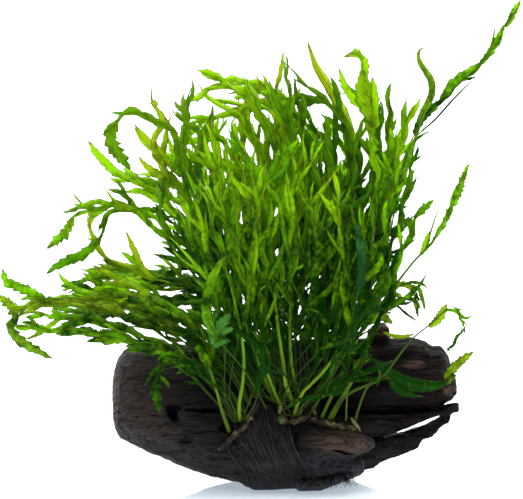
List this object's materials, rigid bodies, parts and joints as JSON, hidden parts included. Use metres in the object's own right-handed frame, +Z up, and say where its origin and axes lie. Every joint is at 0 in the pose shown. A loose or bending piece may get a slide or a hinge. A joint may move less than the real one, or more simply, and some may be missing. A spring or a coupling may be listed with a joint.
{
  "type": "water fern on driftwood",
  "caption": "Clump of African water fern with toothed, feathered fronds on creeping rhizomes, its roots gripping a dark split piece of driftwood that rests on its belly.",
  "frame": {"origin": "middle of the flat patch under the driftwood's belly, on which the whole thing rests", "axes": "+X runs along the driftwood toward its split end, +Z up, -Y toward the front, where the rhizomes and roots show"},
  "size_m": [0.2646, 0.1497, 0.2388],
  "materials": {
    "driftwood": "wet, dark, weathered bog wood with the grain raised",
    "knot_wood": "broken reddish brown wood, dull",
    "rhizome": "golden brown scales, dull",
    "root": "fine dark brown fibres, dull",
    "leaf_deep_green": "thin translucent dark green leaf, satin",
    "leaf_green": "thin translucent green leaf, satin",
    "leaf_yellow_green": "thin translucent yellow-green leaf, satin"
  },
  "bodies": {
    "root": {"driftwood_front_slab": "knot_wood", "driftwood_lower_limb": "driftwood", "driftwood_rear_limb": "driftwood", "driftwood_rear_stub": "knot_wood", "driftwood_spike": "driftwood", "driftwood_trunk": "driftwood", "frond_front_arched": "leaf_yellow_green", "frond_front_blue_leaf": "leaf_deep_green", "frond_front_left_dangling": "leaf_deep_green", "frond_front_left_fan": "leaf_green", "frond_front_left_inner": "leaf_yellow_green", "frond_front_left_tall": "leaf_green", "frond_front_middle": "leaf_green", "frond_front_middle_right": "leaf_yellow_green", "frond_front_plain_leaf": "leaf_green", "frond_front_right_curled": "leaf_green", "frond_front_right_upright": "leaf_green", "frond_front_thick_stalk": "leaf_green", "frond_left_arch": "leaf_deep_green", "frond_left_dark_upright": "leaf_deep_green", "frond_left_hanging": "leaf_deep_green", "frond_left_long_drooping": "leaf_green", "frond_left_low_drooping": "leaf_yellow_green", "frond_left_low_front": "leaf_green", "frond_left_low_inner": "leaf_deep_green", "frond_left_low_upper": "leaf_green", "frond_left_middle_rear": "leaf_green", "frond_left_upper_pointed": "leaf_green", "frond_left_upright": "leaf_yellow_green", "frond_left_yellow_upright": "leaf_yellow_green", "frond_right_curled_simple": "leaf_yellow_green", "frond_right_longest": "leaf_green", "frond_right_low_arc": "leaf_deep_green", "frond_right_low_rear": "leaf_green", "frond_right_low_trailing": "leaf_green", "frond_right_pointed": "leaf_green", "frond_right_rear": "leaf_deep_green", "frond_right_slender": "leaf_deep_green", "frond_right_toothed": "leaf_green", "frond_right_weeping": "leaf_yellow_green", "frond_right_wet_leaf": "leaf_green", "frond_top_broad": "leaf_green", "frond_top_brown_tipped": "leaf_deep_green", "frond_top_dark": "leaf_deep_green", "frond_top_left_arch": "leaf_green", "frond_top_rear_arch": "leaf_green", "frond_top_rear_fan_left": "leaf_green", "frond_top_rear_fan_middle": "leaf_deep_green", "frond_top_rear_fan_right": "leaf_green", "frond_top_right_arch": "leaf_deep_green", "frond_top_tall_simple": "leaf_yellow_green", "frond_top_yellow": "leaf_yellow_green", "rhizome_left": "rhizome", "rhizome_middle": "rhizome", "rhizome_rear": "rhizome", "rhizome_right": "rhizome", "root_bundle_1": "root", "root_bundle_2": "root", "root_bundle_3": "root"}
  },
  "joints": []
}
